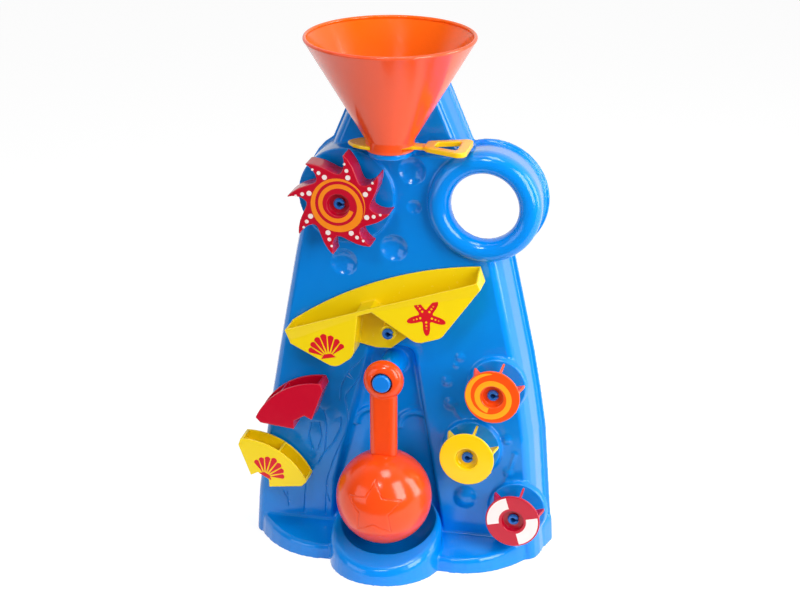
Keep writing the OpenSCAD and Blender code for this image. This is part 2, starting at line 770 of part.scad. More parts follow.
module red_tipper() { color("crimson") tipper(red_at, red_tilt); }
module yellow_tipper() { color("gold") tipper(yellow_at, yellow_tilt); }

// Arm of the pendulum with its eye
module pendulum_arm() {
    low = ball_z + ball_r - arm_root;
    color("orangered") difference() {
        union() {
            translate([0, -swing_out, peg_z]) rotate([90, 0, 0]) rotate_extrude($fn = big) eye_section();
            hull() for (side = [-1, 1]) {
                translate([side * (arm_w / 2 - arm_flare), -swing_out, peg_z - eye_r / 2])
                    mirror([0, 0, 1]) cylinder(r = arm_flare, h = peg_z - eye_r / 2 - low, $fn = 32);
                translate([side * (arm_w / 2 - 2 * arm_flare), -swing_out, peg_z - eye_r / 2])
                    mirror([0, 0, 1]) cylinder(r = arm_d / 2, h = peg_z - eye_r / 2 - low, $fn = 32);
            }
        }
        face_disc([0, peg_z], peg_r + fit, 0, 2 * swing_out);
        face_disc([0, peg_z], counterbore_r, swing_out + eye_d / 2 - counterbore_d, 2 * swing_out);
        translate([0, -swing_out, ball_z]) sphere(r = ball_r, $fn = big);
    }
}
module eye_section() {
    r = eye_d / 2;
    translate([eye_r - r, 0]) circle(r = r, $fn = small);
    translate([0, -r]) square([eye_r - r, 2 * r]);
}

module pendulum_ball() {
    color("orangered") translate([0, -swing_out, ball_z]) sphere(r = ball_r, $fn = big);
}

// Hollow split pin: a barb behind the face, a shank and a split head
module snap_pin(at, seat) {
    back = socket_d + boss_gap / 2;
    color("royalblue") out_of_face(at) difference() {
        rotate_extrude($fn = small) polygon([[pin_bore_r, -back - barb_h], [pin_r - bevel, -back - barb_h],
            [barb_r, -back], [pin_r, -back], [pin_r, seat + boss_gap], [head_r, seat + boss_gap],
            [head_r, seat + boss_gap + head_h / 2], [head_r - bevel, seat + boss_gap + head_h],
            [pin_bore_r, seat + boss_gap + head_h]]);
        translate([0, -pin_slot / 2, seat]) cube([2 * head_r, pin_slot, 2 * head_h]);
        translate([0, -pin_slot / 2, -back - barb_h - eps]) cube([2 * head_r, pin_slot, barb_h + 2 * eps]);
    }
}
module sun_pin() { snap_pin(sun_at, sun_at[2] + sun_d - well_d); }
module seesaw_pin() { snap_pin(seesaw_at, seesaw_at[2] + seesaw_d - well_d); }
module spiral_pin() { snap_pin(spiral_at, spiral_at[2] + disc_d - well_d); }
module yellow_wheel_pin() { snap_pin(yellow_wheel_at, yellow_wheel_at[2] + disc_d - well_d); }
module ring_wheel_pin() { snap_pin(ring_wheel_at, ring_wheel_at[2] + disc_d - well_d); }

// Plain pin that ends inside a tray
module tray_pin(at) {
    back = socket_d + boss_gap / 2;
    front = at[2] + tray_d - 2 * thin - boss_gap;
    color("royalblue") out_of_face(at) rotate_extrude($fn = small) polygon([[0, -back - barb_h],
        [pin_r - bevel, -back - barb_h], [barb_r, -back], [pin_r, -back], [pin_r, front - bevel],
        [pin_r - bevel, front], [0, front]]);
}
module red_tipper_pin() { tray_pin(red_at); }
module yellow_tipper_pin() { tray_pin(yellow_at); }

// Peg with a broad flat head that carries the pendulum
module pendulum_peg() {
    back = trough_d + socket_d + boss_gap / 2;
    seat = swing_out + eye_d / 2 - counterbore_d + boss_gap;
    front = seat + counterbore_d + peg_head_rise;
    color("royalblue") out_of_face([0, peg_z]) rotate_extrude($fn = small) polygon([[0, -back - barb_h],
        [peg_r - bevel, -back - barb_h], [peg_r + bevel, -back], [peg_r, -back], [peg_r, seat],
        [peg_head_r, seat], [peg_head_r, front - bevel], [peg_head_r - bevel, front], [0, front]]);
}

panel();
funnel();
spade();
sun_wheel();
seesaw();
red_tipper();
yellow_tipper();
spiral_wheel();
yellow_wheel();
ring_wheel();
pendulum_arm();
pendulum_ball();
sun_pin();
seesaw_pin();
red_tipper_pin();
yellow_tipper_pin();
spiral_pin();
yellow_wheel_pin();
ring_wheel_pin();
pendulum_peg();
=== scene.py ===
"""Looks of an upright sand wheel toy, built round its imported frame.

Metres. X runs to the right and Z up from the floor. The panel's face is the plane Y = 0, and its front looks
towards -Y. The nodes of the frame are softened into moulded pieces, and the prints lie on top of them.
"""

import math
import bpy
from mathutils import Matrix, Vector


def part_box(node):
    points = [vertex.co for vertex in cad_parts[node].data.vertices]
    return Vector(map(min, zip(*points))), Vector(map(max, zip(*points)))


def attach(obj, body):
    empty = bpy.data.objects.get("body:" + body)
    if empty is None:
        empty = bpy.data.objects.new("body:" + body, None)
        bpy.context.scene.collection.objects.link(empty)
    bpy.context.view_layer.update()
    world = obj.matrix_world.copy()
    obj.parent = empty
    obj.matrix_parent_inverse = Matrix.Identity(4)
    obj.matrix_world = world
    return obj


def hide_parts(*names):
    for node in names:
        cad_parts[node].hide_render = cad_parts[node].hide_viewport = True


bl_info = {
    "name": "Sand wheel toy",
    "version": (1, 0, 0),
    "blender": (4, 5, 0),
    "location": "3D View > Sidebar > Sand wheel",
    "description": "Moulded finish, prints and studio for an upright sand wheel toy",
    "category": "Object",
}

import bmesh
import bpy
from bpy.props import FloatProperty, FloatVectorProperty, IntProperty, PointerProperty
from bpy.types import Operator, Panel, PropertyGroup
from mathutils import Matrix, Vector, kdtree
from mathutils.geometry import tessellate_polygon

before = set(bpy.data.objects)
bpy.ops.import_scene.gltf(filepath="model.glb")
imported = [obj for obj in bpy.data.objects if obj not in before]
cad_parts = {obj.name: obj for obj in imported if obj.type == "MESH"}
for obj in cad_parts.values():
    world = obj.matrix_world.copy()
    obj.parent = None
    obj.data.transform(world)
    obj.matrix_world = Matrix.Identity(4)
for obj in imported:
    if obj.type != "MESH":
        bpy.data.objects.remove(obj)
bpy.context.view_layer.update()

MM = 0.001
TURN = 2 * math.pi


# Properties


def paint(label, use, red, green, blue):
    """A colour property, given as it looks on screen, from 0 to 255"""

    def linear(value):
        value /= 255
        return value / 12.92 if value <= 0.04045 else ((value + 0.055) / 1.055) ** 2.4

    return FloatVectorProperty(
        name=label, description=use, subtype="COLOR", size=3, min=0, max=1,
        default=(linear(red), linear(green), linear(blue)),
    )


def length(label, use, millimetres):
    """A length property, given in millimetres"""
    return FloatProperty(name=label, description=use, default=millimetres * MM, unit="LENGTH", precision=5)


def angle(label, use, degrees):
    """An angle property, given in degrees"""
    return FloatProperty(name=label, description=use, default=math.radians(degrees), subtype="ANGLE")


def power(label, use, watts):
    """A property for a lamp's power, given in watts"""
    return FloatProperty(name=label, description=use, default=watts, subtype="POWER")


def level(label, use, strength, most=2):
    """A brightness property, where 1 is white"""
    return FloatProperty(name=label, description=use, default=strength, min=0, max=most)


class SandWheelColours(PropertyGroup):
    """Colours of the mouldings, the inks and the backdrop"""

    panel: paint("Panel", "Blue of the moulded panel", 0, 138, 236)
    funnel: paint("Funnel", "Coral orange of the funnel", 255, 84, 32)
    # Painted glow: a warmer orange on the funnel's inner faces stands in for light shining through its wall
    funnel_inside_painted_glow: paint("Funnel inside", "Warmer orange where light shines through the wall", 255, 106, 8)
    spade: paint("Spade", "Yellow of the gate spade", 255, 206, 16)
    sun: paint("Sun wheel", "Crimson of the sun wheel", 200, 6, 42)
    seesaw: paint("Seesaw", "Yellow of the seesaw and the lower tray", 255, 220, 8)
    red_tray: paint("Red tray", "Crimson of the upper tray", 206, 6, 44)
    spiral: paint("Spiral wheel", "Orange of the spiral wheel", 255, 84, 16)
    wheel: paint("Plain wheel", "Yellow of the plain wheel", 255, 210, 6)
    ring: paint("Ring wheel", "Crimson of the ring wheel", 192, 8, 44)
    pendulum: paint("Pendulum", "Orange of the pendulum", 255, 78, 18)
    pin: paint("Pins", "Blue of the snap pins", 30, 96, 176)
    peg: paint("Peg", "Light blue of the pendulum's peg", 12, 132, 234)
    sun_print: paint("Sun print", "Orange ink on the sun wheel", 255, 140, 16)
    dot_print: paint("Dots", "Off-white ink of the dots and sectors", 246, 232, 228)
    spiral_print: paint("Spiral print", "Yellow ink on the spiral wheel", 255, 172, 16)
    motif_print: paint("Motifs", "Red ink on the yellow trays", 222, 10, 30)
    backdrop: paint("Backdrop", "White of the floor and the backdrop", 250, 250, 250)


class SandWheelSizes(PropertyGroup):
    """Sizes of the softened edges, the prints and the turned pieces"""

    panel_voxel: length("Panel grid", "Grid that the panel's edges are softened on", 1)
    piece_voxel: length("Piece grid", "Grid that the smaller pieces' edges are softened on", 0.55)
    pin_voxel: length("Pin grid", "Grid that the pins' edges are softened on", 0.28)
    print_rise: length("Ink", "How far a print stands on its piece", 0.12)
    groove_half: length("Groove", "Half the width of an engraved line", 0.9)
    groove_depth: length("Groove depth", "Depth of an engraved line", 0.7)
    disc_print_r: length("Sun print radius", "Outer radius of the sun wheel's print", 24.5)
    disc_r: length("Disc", "Radius of the paddle wheels' front discs", 24.9)
    well_r: length("Well", "Radius of the sunk well round a pin", 10.9)
    funnel_neck_r: length("Funnel neck", "Radius of the funnel's neck", 21.5)
    funnel_neck_top: length("Neck top", "Height of the top of the neck above the floor", 400)
    funnel_floor: length("Funnel floor", "Height of the top of the funnel's floor", 392.5)
    funnel_wall: length("Funnel wall", "Wall thickness of the funnel", 2)
    rim_bead: length("Rim bead", "Radius of the bead round the funnel's rim", 1.7)
    outlet_r: length("Outlet", "Radius of the funnel's outlet", 8.5)
    spigot_r: length("Spigot", "Radius of the funnel's spigot", 11)
    slot_half: length("Slot", "Half the width of the slots for the spade", 16.4)
    slot_h: length("Slot height", "Height of the slots for the spade", 3.6)
    ball_r: length("Ball", "Radius of the pendulum's ball", 43.5)
    seesaw_tilt: angle("Seesaw tilt", "Tilt of the seesaw at rest, right end up", 18.6)
    yellow_tilt: angle("Tray tilt", "Tilt of the yellow tray at rest", -30.8)
    funnel_sides: IntProperty(name="Funnel sides", description="Facets round the funnel", default=160, min=48)
    rays: IntProperty(name="Rays", description="Rays of the sun wheel", default=8, min=5)


class SandWheelStudio(PropertyGroup):
    """Camera, lamps and how bright the surroundings are"""

    camera_x: length("Camera right", "Camera's place to the right of the middle", 411.1)
    camera_y: length("Camera front", "Camera's place along Y", -1753.6)
    camera_z: length("Camera height", "Camera's height above the floor", 941.5)
    camera_turn: angle("Camera turn", "Turn of the view about the vertical", 12.996)
    camera_down: angle("Camera tilt", "How far the view looks down", 21.109)
    lens: FloatProperty(name="Lens", description="Focal length on a 36 mm sensor", default=97.06)
    key_power: power("Key", "Power of the lamp at the right", 8)
    rim_power: power("Rim", "Power of the lamp behind at the right", 10)
    top_power: power("Top", "Power of the lamp overhead", 7)
    fill_power: power("Fill", "Power of the lamp at the left", 4.5)
    glint_power: power("Glint", "Power of the lamp above the camera", 4)
    ambient: level("Ambient", "Light from all round", 0.21)
    room: level("Room", "How bright the room in front looks in gloss", 0.1)
    floor_glow: level("Floor", "Share of plain white in the floor", 0.72, most=1)


def colours():
    return bpy.context.scene.sand_wheel_colours


def sizes():
    return bpy.context.scene.sand_wheel_sizes


def studio():
    return bpy.context.scene.sand_wheel_studio


# Finishes


# Scale and detail of the noises in the plastic: flow marks, scuffs, uneven gloss, slow waves and fine grain
FLOW, SCUFF, GLOSS, WAVE, GRAIN = (16, 3), (160, 4), (38, 2), (26, 1), (1500, 2)
# Shares of the colour in the darkest and the lightest flow marks, and how far worn edges go towards white
FLOW_DARK, FLOW_LIGHT, WORN_PALE = 0.93, 1.05, 0.35
# Pointiness at which an edge starts to look worn, and at which it is fully worn
EDGE_STARTS, EDGE_FULL = 0.53, 0.62
# Noise levels between which scuffs show and the gloss varies
SCUFF_STARTS, SCUFF_FULL, GLOSS_LOW, GLOSS_HIGH = 0.6, 0.75, 0.3, 0.7
# How much rougher a scuff is, and how far the gloss varies to the smooth and to the rough side
SCUFF_ROUGHER, GLOSS_SMOOTHER, GLOSS_ROUGHER = 0.07, 0.03, 0.04
# Strengths and heights of the waves and the grain in the relief
WAVE_STRENGTH, WAVE_H, GRAIN_STRENGTH, GRAIN_H = 0.25, 0.6 * MM, 0.05, 0.2 * MM
PLASTIC_IOR = 1.49
GLOW_REACH, GLOW_SCALE = (0.9, 0.5, 0.35), 2 * MM


def from_to(nodes, links, value, low, high, to_low, to_high):
    """A node that carries a value over from one range to another"""
    node = nodes.new("ShaderNodeMapRange")
    sockets = ("From Min", "From Max", "To Min", "To Max")
    for socket, number in zip(sockets, (low, high, to_low, to_high)):
        node.inputs[socket].default_value = number
    links.new(value, node.inputs["Value"])
    return node


def moulded(name, colour, roughness=0.2, waviness=1.0, glow=0.02, worn=0.5):
    """Glossy moulded plastic: faint flow marks in its colour, a fine grain, scuffs and paler worn edges"""
    material = bpy.data.materials.new(name)
    material.use_nodes = True
    nodes, links = material.node_tree.nodes, material.node_tree.links
    surface = nodes["Principled BSDF"]
    surface.inputs["IOR"].default_value = PLASTIC_IOR
    surface.inputs["Subsurface Weight"].default_value = glow
    surface.inputs["Subsurface Radius"].default_value = GLOW_REACH
    surface.inputs["Subsurface Scale"].default_value = GLOW_SCALE
    place = nodes.new("ShaderNodeTexCoord").outputs["Object"]

    def noise(kind):
        node = nodes.new("ShaderNodeTexNoise")
        node.inputs["Scale"].default_value, node.inputs["Detail"].default_value = kind
        links.new(place, node.inputs["Vector"])
        return node.outputs["Fac"]

    def span(value, low, high, to_low, to_high):
        return from_to(nodes, links, value, low, high, to_low, to_high).outputs["Result"]

    def blend_colour(share, first, second):
        node = nodes.new("ShaderNodeMix")
        node.data_type = "RGBA"
        links.new(share, node.inputs["Factor"])
        for socket, value in (("A", first), ("B", second)):
            target = [s for s in node.inputs if s.name == socket and s.type == "RGBA"][0]
            if isinstance(value, tuple):
                target.default_value = value
            else:
                links.new(value, target)
        return [s for s in node.outputs if s.type == "RGBA"][0]

    def shade(share):
        return (*(min(1.0, c * share) for c in colour), 1)

    def relief(kind, strength, height):
        node = nodes.new("ShaderNodeBump")
        node.inputs["Strength"].default_value = strength
        node.inputs["Distance"].default_value = height
        links.new(noise(kind), node.inputs["Height"])
        return node

    flow = blend_colour(noise(FLOW), shade(FLOW_DARK), shade(FLOW_LIGHT))
    pale = (*(c + (1 - c) * WORN_PALE for c in colour), 1)
    pointiness = nodes.new("ShaderNodeNewGeometry").outputs["Pointiness"]
    edge = span(pointiness, EDGE_STARTS, EDGE_FULL, 0, worn)
    links.new(blend_colour(edge, flow, pale), surface.inputs["Base Color"])

    scuffs = span(noise(SCUFF), SCUFF_STARTS, SCUFF_FULL, 0, SCUFF_ROUGHER)
    smoothest, roughest = roughness - GLOSS_SMOOTHER, roughness + GLOSS_ROUGHER
    base = span(noise(GLOSS), GLOSS_LOW, GLOSS_HIGH, smoothest, roughest)
    total = nodes.new("ShaderNodeMath")
    links.new(scuffs, total.inputs[0])
    links.new(base, total.inputs[1])
    links.new(total.outputs["Value"], surface.inputs["Roughness"])

    waves = relief(WAVE, WAVE_STRENGTH * waviness, WAVE_H)
    grain = relief(GRAIN, GRAIN_STRENGTH, GRAIN_H)
    links.new(waves.outputs["Normal"], grain.inputs["Normal"])
    links.new(grain.outputs["Normal"], surface.inputs["Normal"])
    return material


def inked(name, colour):
    """Pad-printed ink: slightly duller than the plastic, with a faint mottle"""
    return moulded(name, colour, roughness=0.34, waviness=0.5, glow=0, worn=0)


# Shapes


ROUNDING, QUICK_COARSER = 0.5, 2
# Share of the faces that is kept when a softened piece is thinned
PANEL_SHARE, SMALL_SHARE, PIN_SHARE = 0.35, 0.6, 0.5


def placed(name, data):
    """Puts a mesh, a lamp or a camera into the scene"""
    thing = bpy.data.objects.new(name, data)
    bpy.context.collection.objects.link(thing)
    return thing


def new_piece(name, vertices, faces):
    """A piece made from points and faces"""
    mesh = bpy.data.meshes.new(name)
    mesh.from_pydata([tuple(v) for v in vertices], [], faces)
    mesh.update()
    return placed(name, mesh)


def faced_outward(piece):
    """Turns the faces of a closed piece outwards"""
    bm = bmesh.new()
    bm.from_mesh(piece.data)
    bmesh.ops.recalc_face_normals(bm, faces=bm.faces)
    bm.to_mesh(piece.data)
    bm.free()
    return piece


def baked(piece):
    """Applies the modifiers of a piece"""
    shape = piece.evaluated_get(bpy.context.evaluated_depsgraph_get())
    mesh = bpy.data.meshes.new_from_object(shape)
    piece.modifiers.clear()
    old, piece.data = piece.data, mesh
    mesh.name = piece.name
    bpy.data.meshes.remove(old)
    return piece


def smooth(piece):
    """Shades a piece as one smooth surface"""
    piece.data.polygons.foreach_set("use_smooth", [True] * len(piece.data.polygons))
    piece.data.update()
    return piece


def softened(node, voxel, passes, share, engrave=None):
    """A copy of a node with a mould's rounded edges, engraved and then thinned to a share of its faces"""
    piece = placed(node + "_moulded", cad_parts[node].data.copy())
    piece.data.materials.clear()
    grid = piece.modifiers.new("Grid", "REMESH")
    grid.mode = "VOXEL"
    grid.voxel_size = voxel * 1
    rounding = piece.modifiers.new("Rounding", "SMOOTH")
    rounding.factor = ROUNDING
    rounding.iterations = passes
    if engrave:
        engrave(baked(piece))
    thinning = piece.modifiers.new("Thinning", "DECIMATE")
    thinning.ratio = share
    return smooth(baked(piece))


def softened_small(node, passes=3):
    """A softened copy of one of the smaller pieces"""
    return softened(node, sizes().piece_voxel, passes, SMALL_SHARE)


def dressed(piece, node, body, material):
    """Finishes a piece that stands for a node of the frame"""
    piece.data.materials.clear()
    piece.data.materials.append(material)
    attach(piece, body)
    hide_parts(node)
    return piece


def axis_of(node):
    """Place across and up of the axis of a round node"""
    low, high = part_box(node)
    return (low.x + high.x) / 2, (low.z + high.z) / 2


def circle(radius, sides, at):
    """Points round a circle about a place"""
    return [(at[0] + radius * math.cos(TURN * i / sides), at[1] + radius * math.sin(TURN * i / sides))
            for i in range(sides)]


def curve(points, steps=8):
    """A smooth line through points, with a number of steps between each two"""
    points = [Vector(p) for p in points]
    ends = [2 * points[0] - points[1], *points, 2 * points[-1] - points[-2]]
    line = []
    for a, b, c, d in zip(ends, ends[1:], ends[2:], ends[3:]):
        for i in range(steps):
            t = i / steps
            line.append(0.5 * (2 * b + (c - a) * t + (2 * a - 5 * b + 4 * c - d) * t * t
                               + (3 * b - a - 3 * c + d) * t ** 3))
    return [*line, points[-1]]


def print_on(name, outlines, node, pivot, tilt, body, material):
    """A print on the flat front of a node: outlines across and up from a pivot, turned by a tilt"""
    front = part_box(node)[0].y
    rise = sizes().print_rise
    turn = Matrix.Rotation(tilt, 2)
    vertices, faces = [], []
    for outline in outlines:
        loops = [[turn @ Vector(p) for p in loop] for loop in outline]
        flat = [p for loop in loops for p in loop]
        base = len(vertices)
        for y in (front - rise, front + rise):
            vertices += [(pivot[0] + p.x, y, pivot[1] + p.y) for p in flat]
        count = len(flat)
        triangles = tessellate_polygon([[(p.x, p.y, 0) for p in loop] for loop in loops])
        for t in triangles:
            a, b, c = (flat[i] for i in t)
            order = t if (b - a).cross(c - a) > 0 else tuple(reversed(t))
            faces.append([base + i for i in order])
            faces.append([base + count + i for i in reversed(order)])
        start = base
        for loop in loops:
            ring = [(start + i, start + (i + 1) % len(loop)) for i in range(len(loop))]
            faces += [(a, a + count, b + count, b) for a, b in ring]
            start += len(loop)
    piece = faced_outward(new_piece(name, vertices, faces))
    piece.data.materials.append(material)
    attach(piece, body)
    return piece


# A groove is sampled this often in half its width. The edges out to these many half widths are split before
# it is carved, and only what faces the given way to at least this share is carved
GROOVE_SAMPLES, SPLIT_REACHES, FACES_IT = 3, (3.2, 2.4), 0.5


def carve(piece, lines, half, depth, facing=None):
    """Sinks round grooves along lines into a piece, only where it faces a given way"""
    step = half / GROOVE_SAMPLES
    samples = []
    for line in lines:
        for a, b in zip(line, line[1:]):
            parts = max(1, math.ceil((Vector(b) - Vector(a)).length / step))
            samples += [Vector(a).lerp(Vector(b), i / parts) for i in range(parts + 1)]
    tree = kdtree.KDTree(len(samples))
    for i, point in enumerate(samples):
        tree.insert(point, i)
    tree.balance()
    bm = bmesh.new()
    bm.from_mesh(piece.data)

    def near(vertex, reach):
        if facing is not None and vertex.normal.dot(facing) < FACES_IT:
            return None
        away = tree.find(vertex.co)[2]
        return away if away is not None and away < reach else None

    for reach in SPLIT_REACHES:
        close = {v for v in bm.verts if near(v, reach * half) is not None}
        edges = [e for e in bm.edges if close.issuperset(e.verts) and e.calc_length() > half / 2]
        bmesh.ops.subdivide_edges(bm, edges=edges, cuts=1, use_grid_fill=True)
        bmesh.ops.triangulate(bm, faces=[f for f in bm.faces if len(f.verts) > 4])
        bm.normal_update()
    moves = []
    for v in bm.verts:
        away = near(v, half)
        if away is not None:
            moves.append((v, v.normal.copy() * depth * (0.5 + 0.5 * math.cos(math.pi * away / half))))
    for v, move in moves:
        v.co -= move
    bm.to_mesh(piece.data)
    bm.free()
    return smooth(piece)


def lathe(name, profile, axis, sides):
    """A closed section of radius and height pairs, turned round a vertical axis"""
    count = len(profile)
    vertices = [(axis[0] + r * math.cos(TURN * k / sides), axis[1] + r * math.sin(TURN * k / sides), z)
                for k in range(sides) for r, z in profile]
    faces = []
    for k in range(sides):
        here, there = k * count, (k + 1) % sides * count
        for i in range(count):
            following = (i + 1) % count
            faces.append((here + i, there + i, there + following, here + following))
    return faced_outward(new_piece(name, vertices, faces))


# Prints


def ribbon(start, turns, outer, inner, steps=96):
    """Outline of a spiral band; outer and inner give its edges at a share of the way"""
    outside, inside = [], []
    for i in range(steps + 1):
        share = i / steps
        a = start + TURN * turns * share
        outside.append((outer(share) * math.cos(a), outer(share) * math.sin(a)))
        inside.append((inner(share) * math.cos(a), inner(share) * math.sin(a)))
    return [[*outside, *reversed(inside)]]


def sector(middle, half_angle, inner, outer, steps=24):
    """Outline of a part of a ring"""
    angles = [middle - half_angle + 2 * half_angle * i / steps for i in range(steps + 1)]
    return [[*((outer * math.cos(a), outer * math.sin(a)) for a in angles),
             *((inner * math.cos(a), inner * math.sin(a)) for a in reversed(angles))]]


# Scallop shell: angle of the whole fan, and, as shares, how much shorter its outer ribs are, where the ribs
# start, how much of its room a rib fills, how far its end is rounded, and the foot's half widths and height
FAN, FAN_SHORTER, RIB_START, RIB_FILL, RIB_ROUND = 132, 0.16, 0.2, 0.86, 0.07
FOOT_WIDE, FOOT_NARROW, FOOT_H = 0.3, 0.14, 0.17
# Its ribs, and the steps across the end of each
RIBS, RIB_STEPS = 7, 8
# Starfish: arms, points on each, radius between them as a share of the size, and how pointed the arms are
ARMS, ARM_POINTS, BETWEEN_ARMS, ARM_POINTED = 5, 16, 0.36, 1.6
# Bare dots on an arm: how far out they lie and their radius, as shares of the size, and their facets
ARM_DOTS, DOT_SIDES = ((0.3, 0.055), (0.48, 0.045), (0.64, 0.035)), 12


def scallop(at, size, turn):
    """Outlines of a scallop shell, placed in millimetres: wedge-shaped ribs over a small foot"""
    size *= MM
    half = math.radians(FAN / 2) / RIBS
    outlines = []
    for k in range(RIBS):
        off_middle = 2 * k - RIBS + 1
        middle = math.pi / 2 + off_middle * half
        reach = size * (1 - FAN_SHORTER * abs(off_middle) / (RIBS - 1))
        wedge = [(RIB_START * size * math.cos(middle), RIB_START * size * math.sin(middle))]
        for i in range(RIB_STEPS + 1):
            a = middle + RIB_FILL * half * (2 * i / RIB_STEPS - 1)
            r = reach * (1 - RIB_ROUND + RIB_ROUND * math.sin(math.pi * i / RIB_STEPS))
            wedge.append((r * math.cos(a), r * math.sin(a)))
        outlines.append([wedge])
    wide, narrow, up = FOOT_WIDE * size, FOOT_NARROW * size, FOOT_H * size
    outlines.append([[(-wide, 0), (wide, 0), (narrow, up), (-narrow, up)]])
    return [[moved(loop, at, turn) for loop in outline] for outline in outlines]


def starfish(at, size, turn):
    """Outlines of a starfish, placed in millimetres, with a row of bare dots along each arm"""
    size *= MM
    body = []
    for i in range(ARMS * ARM_POINTS):
        a = TURN * i / (ARMS * ARM_POINTS)
        wave = 0.5 + 0.5 * math.cos(ARMS * a)
        r = size * (BETWEEN_ARMS + (1 - BETWEEN_ARMS) * wave ** ARM_POINTED)
        body.append((r * math.sin(a), r * math.cos(a)))
    dots = []
    for k in range(ARMS):
        a = TURN * k / ARMS
        for share, radius in ARM_DOTS:
            place = (share * size * math.sin(a), share * size * math.cos(a))
            dots.append(circle(radius * size, DOT_SIDES, place))
    return [[moved(loop, at, turn) for loop in (body, *dots)]]


def moved(loop, at, turn):
    """A loop turned by degrees and set at a place in millimetres"""
    rotation = Matrix.Rotation(math.radians(turn), 2)
    place = Vector([value * MM for value in at])
    return [tuple(place + rotation @ Vector(p)) for p in loop]


# Operators


class Builder(Operator):
    """Carries out one step of the build"""

    bl_options = {"REGISTER", "UNDO"}

    def execute(self, context):
        self.build()
        return {"FINISHED"}


class SANDWHEEL_OT_panel(Builder):
    """Softens the panel and engraves the weed into its left side"""

    bl_idname = "sandwheel.panel"
    bl_label = "Panel"

    # Engraved weed, across and up on the face, in millimetres
    WEED = (
        ((-28, 187), (-42, 172), (-49, 156), (-50, 144)),
        ((-31, 169), (-38, 158), (-45, 147), (-43, 130), (-43, 116), (-52, 95), (-60, 73), (-64, 54),
         (-61, 39)),
        ((-49, 127), (-50, 116), (-58, 99), (-65, 90), (-72, 78)),
        ((-66, 132), (-63, 119), (-64, 102), (-65, 90)),
        ((-70, 119), (-68, 105), (-72, 92)),
        ((-78, 118), (-80, 104), (-77, 92)),
        ((-84, 55), (-85, 40), (-86, 25)),
        ((-102, 44), (-101, 30)),
        ((-106, 46), (-102, 38)),
        ((-64, 50), (-65, 36), (-65, 26)),
    )

    def build(self):
        piece = softened("panel", sizes().panel_voxel, 4, PANEL_SHARE, self.weed)
        finish = moulded("Panel_blue", colours().panel, roughness=0.13)
        dressed(piece, "panel", "frame", finish)

    def weed(self, piece):
        lines = [curve([(x * MM, 0, z * MM) for x, z in stem]) for stem in self.WEED]
        carve(piece, lines, sizes().groove_half, sizes().groove_depth, Vector((0, -1, 0)))


class SANDWHEEL_OT_funnel(Builder):
    """Turns the funnel with its beaded rim, floor and outlet, and cuts the slots for the spade"""

    bl_idname = "sandwheel.funnel"
    bl_label = "Funnel"

    # How far the edges are eased, in millimetres, and the angle from which an edge stays crisp
    EASE, CRISP = 0.6, 40
    # Bead round the rim: where its arc starts, the step between its points, in degrees, and their number
    BEAD_START, BEAD_STEP, BEAD_POINTS = -60, 24, 13

    def build(self):
        c, s = colours(), sizes()
        low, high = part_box("funnel")
        axis = ((low.x + high.x) / 2, (low.y + high.y) / 2)
        piece = lathe("funnel_moulded", self.section(low, high), axis, s.funnel_sides)
        cutter = new_piece("slot_cutter", *self.slot(axis))
        cut = piece.modifiers.new("Slots", "BOOLEAN")
        cut.object = cutter
        baked(piece)
        bpy.data.objects.remove(cutter)
        self.crisp_edges(piece)
        smooth(piece)
        dressed(piece, "funnel", "frame", moulded("Funnel_coral", c.funnel, roughness=0.16))
        # Painted glow: the inner faces above the neck get a second, warmer orange that stands in for light
        # shining through the wall
        piece.data.materials.append(moulded("Funnel_inside", c.funnel_inside_painted_glow, roughness=0.16))
        for face in piece.data.polygons:
            away = face.center.xy - Vector(axis)
            if face.center.z > s.funnel_neck_top and face.normal.xy.dot(away) < 0:
                face.material_index = 1

    def section(self, low, high):
        """The closed section that is turned into the funnel"""
        s = sizes()
        top, bead = high.z, s.rim_bead
        rim_r = (high.x - low.x) / 2 - bead
        collar_top = s.funnel_floor - s.funnel_wall
        neck, neck_top, outlet, spigot = s.funnel_neck_r, s.funnel_neck_top, s.outlet_r, s.spigot_r
        inner_neck = neck - s.funnel_wall
        edge = self.EASE * MM
        angles = (math.radians(self.BEAD_START + self.BEAD_STEP * i) for i in range(self.BEAD_POINTS))
        return [
            (outlet, low.z), (spigot - edge, low.z), (spigot, low.z + edge), (spigot, collar_top),
            (neck - edge, collar_top), (neck, collar_top + edge),
            (neck, neck_top - edge), (neck + edge / 2, neck_top + edge / 2),
            *((rim_r + bead * math.cos(a), top - bead + bead * math.sin(a)) for a in angles),
            (inner_neck + edge / 2, neck_top + edge), (inner_neck, neck_top),
            (inner_neck, s.funnel_floor + edge), (inner_neck - edge, s.funnel_floor),
            (outlet + edge, s.funnel_floor), (outlet, s.funnel_floor - edge),
        ]

    def crisp_edges(self, piece):
        """Keeps the edges of the slots, the neck and the outlet crisp"""
        bm = bmesh.new()
        bm.from_mesh(piece.data)
        for e in bm.edges:
            if len(e.link_faces) == 2 and e.calc_face_angle() > math.radians(self.CRISP):
                e.smooth = False
        bm.to_mesh(piece.data)
        bm.free()

    def slot(self, axis):
        """Corners and faces of the block that is cut out for the spade"""
        s = sizes()
        reach = 2 * s.funnel_neck_r
        corners = [(axis[0] + x * reach, axis[1] + y * s.slot_half, s.funnel_floor + z * s.slot_h)
                   for x in (-1, 1) for y in (-1, 1) for z in (0, 1)]
        return corners, [(0, 1, 3, 2), (4, 6, 7, 5), (0, 4, 5, 1), (2, 3, 7, 6), (0, 2, 6, 4), (1, 5, 7, 3)]


class SANDWHEEL_OT_spade(Builder):
    """Softens the spade that closes the funnel"""

    bl_idname = "sandwheel.spade"
    bl_label = "Spade"

    def build(self):
        piece = softened_small("spade", 4)
        dressed(piece, "spade", "gate", moulded("Spade_yellow", colours().spade))


